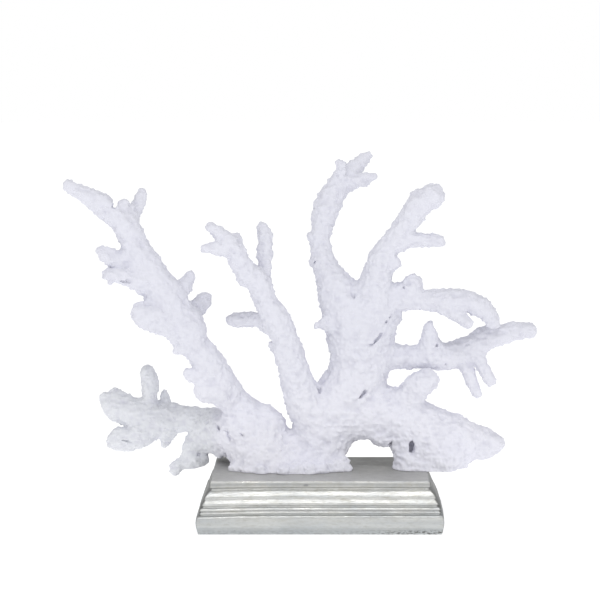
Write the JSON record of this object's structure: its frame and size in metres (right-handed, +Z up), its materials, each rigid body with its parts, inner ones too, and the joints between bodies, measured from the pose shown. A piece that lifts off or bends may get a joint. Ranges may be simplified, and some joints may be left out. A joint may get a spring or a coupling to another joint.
{
  "type": "branching coral on a stand",
  "caption": "Upright white branching coral, lumpy stems and finger twigs rising from a broad fused foot, fixed on a rectangular silver stand with a stepped moulding; a shelf ornament.",
  "frame": {"origin": "centre of the stand's underside", "axes": "+Z up, +X along the stand's long side to the right of a viewer in front, -Y towards that viewer"},
  "size_m": [0.3978, 0.1247, 0.312],
  "materials": {
    "coral": "matte, finely grained, bleached white",
    "stand": "rubbed silver leaf over moulded wood, satin"
  },
  "bodies": {
    "root": {"stand": "stand", "trunk": "coral", "left_arm": "coral", "lower_left_spray": "coral", "centre_left_branch": "coral", "tall_branch": "coral", "centre_right_branch": "coral", "upper_right_branch": "coral", "middle_right_branch": "coral", "right_lobe": "coral", "right_stub": "coral"}
  },
  "joints": []
}
